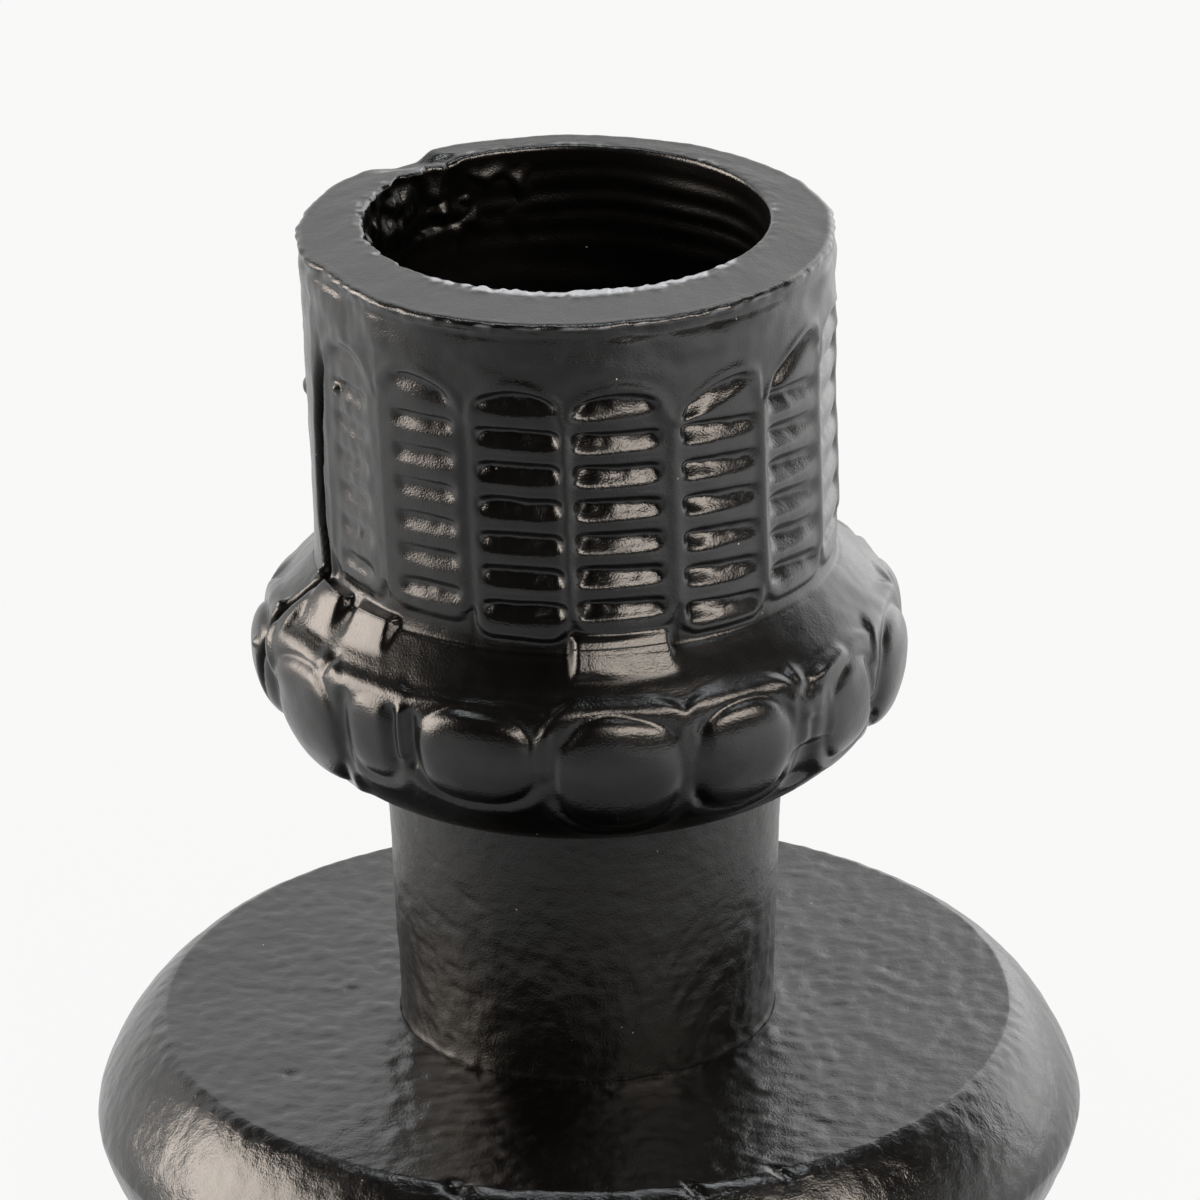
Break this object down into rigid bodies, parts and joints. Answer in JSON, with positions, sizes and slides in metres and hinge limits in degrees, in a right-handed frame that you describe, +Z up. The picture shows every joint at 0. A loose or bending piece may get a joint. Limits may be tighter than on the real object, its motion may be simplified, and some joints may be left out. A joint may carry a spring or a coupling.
{
  "type": "candle holder",
  "caption": "Small cast candle holder with a ribbed socket for one dinner candle, an egg-and-dart collar, a plain neck and a thick round foot.",
  "frame": {"origin": "middle of the base, on the surface the holder stands on", "axes": "+Z up along the axis, -Y towards the front, where the rim is thickest"},
  "size_m": [0.0562, 0.0562, 0.0601],
  "materials": {
    "socket_paint": "gloss black paint on a fine casting",
    "neck_paint": "gloss black paint on a rough casting",
    "foot_paint": "gloss black paint with orange peel",
    "zinc_steel": "zinc plated",
    "felt": "pressed felt"
  },
  "bodies": {
    "root": {"candle_socket": "socket_paint", "neck_tube": "neck_paint", "foot": "foot_paint", "tie_rod": "zinc_steel", "flat_washer": "zinc_steel", "spring_washer": "zinc_steel", "hex_nut": "zinc_steel", "felt_pad": "felt"}
  },
  "joints": []
}
